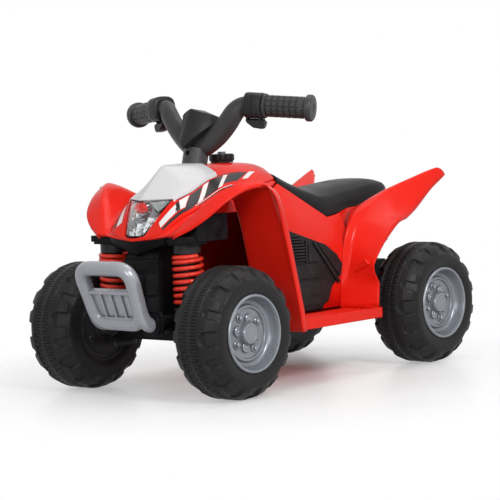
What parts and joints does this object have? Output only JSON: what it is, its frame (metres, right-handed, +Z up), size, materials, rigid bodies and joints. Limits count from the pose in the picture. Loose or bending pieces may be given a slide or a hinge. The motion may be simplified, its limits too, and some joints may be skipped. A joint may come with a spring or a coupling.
{
  "type": "kids quad bike",
  "caption": "Small battery ride-on quad bike for a child: raked handlebar steers the front wheels, a geared motor drives a rear wheel, with footrests, seat, fenders and a front bumper.",
  "frame": {"origin": "on the floor below the middle of the whole part's box", "axes": "+X towards the rider's left, +Y towards the rear, +Z up; the front faces -Y"},
  "size_m": [0.3848, 0.678, 0.4422],
  "materials": {
    "red_plastic": "glossy moulded plastic",
    "white_plastic": "glossy moulded plastic",
    "clear_lens": "clear moulded plastic",
    "reflector_chrome": "bright metallised plastic",
    "black_seat": "satin moulded plastic",
    "black_plastic": "satin moulded plastic",
    "grip_black": "ribbed soft plastic",
    "grey_plastic": "silver-grey satin plastic",
    "tyre_black": "matt moulded plastic with a tread",
    "spring_red": "gloss painted wire",
    "steel": "zinc plated",
    "gear_white": "plain moulded plastic",
    "gear_brass": "machined",
    "battery_grey": "moulded case",
    "wire_black": "insulated wire"
  },
  "bodies": {
    "chassis": {"tank_cover": "red_plastic", "headlight_lens": "clear_lens", "nose_cowl": "white_plastic", "side_body": "red_plastic", "seat": "black_seat", "front_fender_left": "red_plastic", "front_fender_right": "red_plastic", "rear_fender_left": "red_plastic", "rear_fender_right": "red_plastic", "headlight_reflector": "reflector_chrome", "footrest_pan": "red_plastic", "body_screws": "steel", "engine_panel_left": "black_plastic", "engine_panel_right": "black_plastic", "chassis_tub": "black_plastic", "front_block": "black_plastic", "axle_beam": "black_plastic", "bumper": "grey_plastic", "damper_left": "black_plastic", "damper_right": "black_plastic", "coil_spring_left": "spring_red", "coil_spring_right": "spring_red", "rear_axle": "steel", "rear_lock_nuts": "steel", "fuel_cap": "black_plastic", "drive_motor": "steel", "gearbox_case_outer": "black_plastic", "gearbox_case_inner": "black_plastic", "battery": "battery_grey", "charge_socket": "black_plastic", "wiring": "wire_black"},
    "steering": {"handlebar": "black_plastic", "steering_shaft": "steel", "handlebar_pad": "black_plastic", "grip_left": "grip_black", "grip_right": "grip_black", "switch_housing_left": "black_plastic", "switch_housing_right": "black_plastic"},
    "knuckle_left": {"steering_knuckle_left": "black_plastic", "stub_axle_left": "steel", "front_lock_nut_left": "steel"},
    "knuckle_right": {"steering_knuckle_right": "black_plastic", "stub_axle_right": "steel", "front_lock_nut_right": "steel"},
    "tie_rod_link": {"tie_rod": "black_plastic"},
    "wheel_front_left": {"tyre_front_left": "tyre_black", "rim_front_left": "grey_plastic"},
    "wheel_front_right": {"tyre_front_right": "tyre_black", "rim_front_right": "grey_plastic"},
    "wheel_rear_left": {"tyre_rear_left": "tyre_black", "rim_rear_left": "grey_plastic"},
    "wheel_rear_right": {"tyre_rear_right": "tyre_black", "rim_rear_right": "grey_plastic", "output_gear": "gear_white"},
    "idler": {"idler_gear": "gear_white"},
    "pinion": {"motor_pinion": "gear_brass"},
    "horn_lever_body": {"horn_lever": "black_plastic"},
    "throttle_lever_body": {"throttle_lever": "black_plastic"},
    "button": {"cap_button": "grey_plastic"}
  },
  "joints": [
    {"name": "handlebar_turn", "type": "hinge", "parent": "chassis", "child": "steering", "pos_m": [0, -0.1256, 0.335], "axis": [0, 0.2756, 0.9613], "range_deg": [-22, 22]},
    {"name": "knuckle_left_turn", "type": "hinge", "parent": "chassis", "child": "knuckle_left", "pos_m": [0.088, -0.2205, 0.0965], "axis": [0, 0, 1], "range_deg": [-22, 22]},
    {"name": "knuckle_right_turn", "type": "hinge", "parent": "chassis", "child": "knuckle_right", "pos_m": [-0.088, -0.2205, 0.0965], "axis": [0, 0, 1], "range_deg": [-22, 22]},
    {"name": "tie_rod_turn", "type": "hinge", "parent": "knuckle_left", "child": "tie_rod_link", "pos_m": [0.088, -0.1865, 0.077], "axis": [0, 0, 1], "range_deg": [-22, 22]},
    {"name": "wheel_front_left_spin", "type": "hinge", "parent": "knuckle_left", "child": "wheel_front_left", "pos_m": [0.149, -0.2205, 0.0965], "axis": [1, 0, 0], "continuous": true},
    {"name": "wheel_front_right_spin", "type": "hinge", "parent": "knuckle_right", "child": "wheel_front_right", "pos_m": [-0.149, -0.2205, 0.0965], "axis": [1, 0, 0], "continuous": true},
    {"name": "wheel_rear_left_spin", "type": "hinge", "parent": "chassis", "child": "wheel_rear_left", "pos_m": [0.149, 0.2425, 0.0965], "axis": [1, 0, 0], "continuous": true},
    {"name": "wheel_rear_right_spin", "type": "hinge", "parent": "chassis", "child": "wheel_rear_right", "pos_m": [-0.149, 0.2425, 0.0965], "axis": [1, 0, 0], "continuous": true},
    {"name": "idler_spin", "type": "hinge", "parent": "chassis", "child": "idler", "pos_m": [-0.078, 0.22144, 0.12445], "axis": [1, 0, 0], "continuous": true},
    {"name": "pinion_spin", "type": "hinge", "parent": "chassis", "child": "pinion", "pos_m": [-0.07, 0.20027, 0.1404], "axis": [1, 0, 0], "continuous": true},
    {"name": "horn_lever_press", "type": "hinge", "parent": "steering", "child": "horn_lever_body", "pos_m": [0.08153, -0.09741, 0.39934], "axis": [0.9256, 0.3685, -0.0866], "range_deg": [-14, 0], "stiffness_Nm_per_rad": 0.05},
    {"name": "throttle_lever_press", "type": "hinge", "parent": "steering", "child": "throttle_lever_body", "pos_m": [-0.08153, -0.09741, 0.39934], "axis": [0.9256, -0.3685, 0.0866], "range_deg": [-14, 0], "stiffness_Nm_per_rad": 0.05},
    {"name": "cap_button_press", "type": "slide", "parent": "chassis", "child": "button", "axis": [0, 0, -1], "range_m": [0, 0.0025], "stiffness_N_per_m": 400}
  ],
  "couplings": [
    {"joint": "knuckle_left_turn", "follows": "handlebar_turn", "ratio": 1},
    {"joint": "knuckle_right_turn", "follows": "handlebar_turn", "ratio": 1},
    {"joint": "tie_rod_turn", "follows": "handlebar_turn", "ratio": -1},
    {"joint": "idler_spin", "follows": "wheel_rear_right_spin", "ratio": -3.6},
    {"joint": "pinion_spin", "follows": "wheel_rear_right_spin", "ratio": 12}
  ]
}
